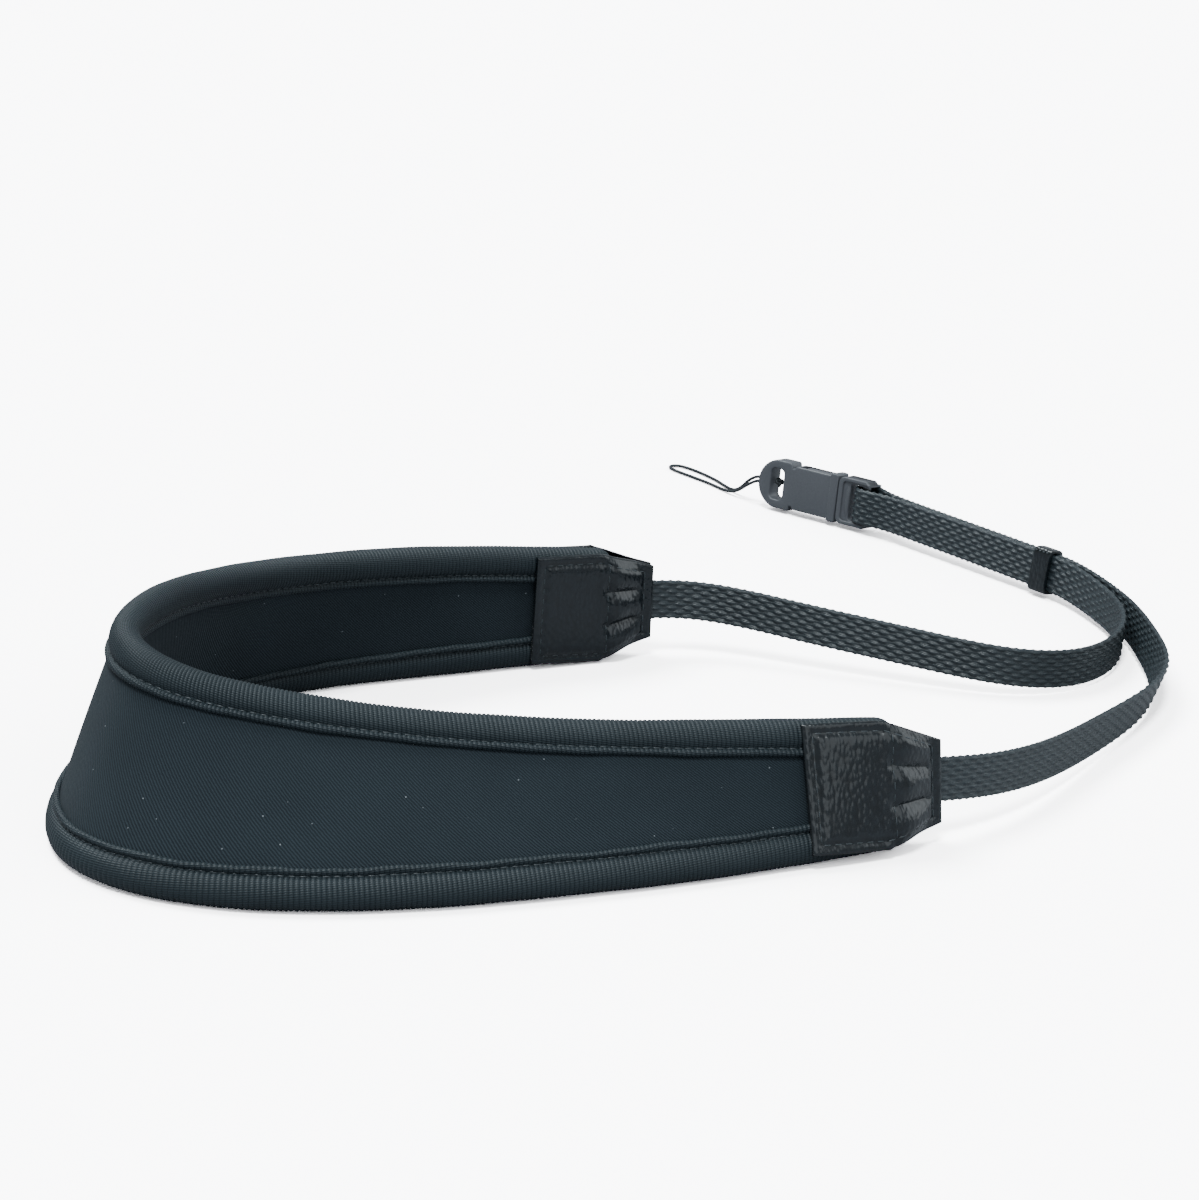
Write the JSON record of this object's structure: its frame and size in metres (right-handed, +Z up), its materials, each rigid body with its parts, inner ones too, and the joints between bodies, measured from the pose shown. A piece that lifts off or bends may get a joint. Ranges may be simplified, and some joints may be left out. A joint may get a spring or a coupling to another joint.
{
  "type": "camera neck strap",
  "caption": "Padded neck strap with bound edges, leather end tabs, narrow webbing, a keeper, a side-release buckle and a thin cord loop for a compact camera.",
  "frame": {"origin": "under the middle of the standing strap, on the surface it rests on", "axes": "+Z up, +Y along the strap's longest extent towards the buckle, +X towards the webbing's turn"},
  "size_m": [0.258, 0.3475, 0.0465],
  "materials": {
    "neoprene": "knit-faced neoprene",
    "binding_tape": "ribbed woven tape",
    "leather": "pebbled, semi-gloss",
    "nylon_webbing": "coarse basket weave",
    "buckle_plastic": "fine moulded texture",
    "cord": "fine braid"
  },
  "bodies": {
    "root": {"neck_pad": "neoprene", "binding_upper": "binding_tape", "binding_lower": "binding_tape", "tab_near_front": "leather", "tab_near_back": "leather", "tab_far_front": "leather", "tab_far_back": "leather", "webbing": "nylon_webbing", "keeper": "leather", "buckle_plug": "buckle_plastic", "buckle_socket": "buckle_plastic", "cord_knot": "cord", "cord_loop": "cord"}
  },
  "joints": []
}
